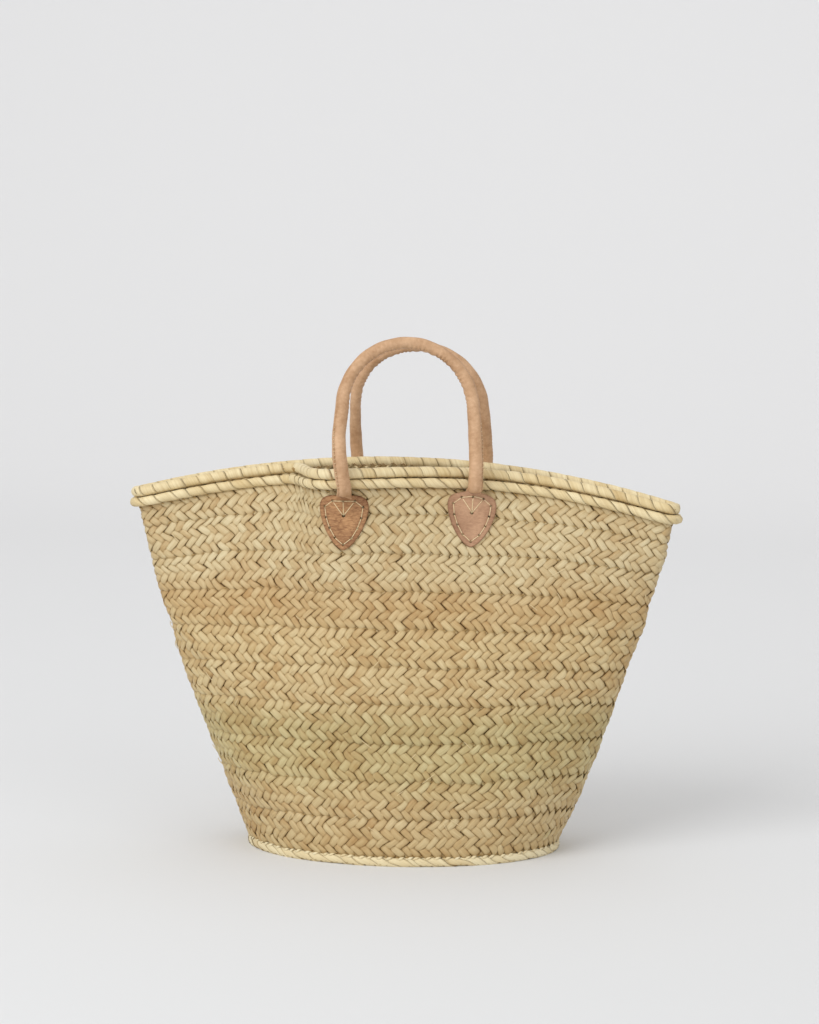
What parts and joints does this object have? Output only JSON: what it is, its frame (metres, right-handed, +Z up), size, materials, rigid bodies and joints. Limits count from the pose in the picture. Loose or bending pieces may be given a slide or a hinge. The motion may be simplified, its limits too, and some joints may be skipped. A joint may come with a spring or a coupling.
{
  "type": "woven market basket",
  "caption": "Oval market basket of plaited palm leaf with flared sides, a wrapped rim round a pinched mouth, and rolled leather handles sewn on with shield shaped patches.",
  "frame": {"origin": "on the ground under the middle of the bottom", "axes": "+X along the basket's length to its right end, -Y to its front, +Z up"},
  "size_m": [0.5413, 0.211, 0.5015],
  "materials": {
    "palm_plait": "matt dried palm leaf, plaited",
    "palm_cord": "matt twisted palm leaf",
    "palm_wrap": "satin dried palm leaf, wrapped",
    "palm_core": "matt bundled palm fibre",
    "rope_core": "matt fibre rope",
    "seam_thread": "matt waxed thread",
    "handle_leather": "satin vegetable tanned leather",
    "patch_leather": "satin vegetable tanned leather",
    "patch_thread": "matt linen thread"
  },
  "bodies": {
    "basket": {"base_turn_1": "palm_plait", "base_turn_2": "palm_plait", "base_turn_3": "palm_plait", "base_seam_1": "palm_cord", "base_seam_2": "palm_cord", "base_edge": "palm_wrap", "side_band_01": "palm_plait", "side_band_02": "palm_plait", "side_band_03": "palm_plait", "side_band_04": "palm_plait", "side_band_05": "palm_plait", "side_band_06": "palm_plait", "side_band_07": "palm_plait", "side_band_08": "palm_plait", "side_band_09": "palm_plait", "side_band_10": "palm_plait", "seam_cord_01": "palm_cord", "seam_cord_02": "palm_cord", "seam_cord_03": "palm_cord", "seam_cord_04": "palm_cord", "seam_cord_05": "palm_cord", "seam_cord_06": "palm_cord", "seam_cord_07": "palm_cord", "seam_cord_08": "palm_cord", "seam_cord_09": "palm_cord", "seam_cord_10": "palm_cord", "rim_roll_core": "palm_core", "rim_roll_wrap": "palm_wrap", "rim_bead_core": "palm_core", "rim_bead_wrap": "palm_wrap", "rim_lacing": "palm_cord", "tongue_front_left": "handle_leather", "tongue_front_right": "handle_leather", "tongue_back_left": "handle_leather", "tongue_back_right": "handle_leather", "patch_front_left": "patch_leather", "patch_front_right": "patch_leather", "patch_back_left": "patch_leather", "patch_back_right": "patch_leather", "thread_front_left": "patch_thread", "thread_front_right": "patch_thread", "thread_back_left": "patch_thread", "thread_back_right": "patch_thread"},
    "front_handle": {"handle_front_cover": "handle_leather", "handle_front_core": "rope_core", "handle_front_seam": "seam_thread"},
    "back_handle": {"handle_back_cover": "handle_leather", "handle_back_core": "rope_core", "handle_back_seam": "seam_thread"}
  },
  "joints": [
    {"name": "front_handle_swing", "type": "hinge", "parent": "basket", "child": "front_handle", "pos_m": [0.01633, -0.06203, 0.35666], "axis": [0.94, 0.3413, 0], "range_deg": [0, 150]},
    {"name": "back_handle_swing", "type": "hinge", "parent": "basket", "child": "back_handle", "pos_m": [0.01019, 0.05293, 0.35113], "axis": [-1, 0.0084, 0], "range_deg": [0, 150]}
  ]
}
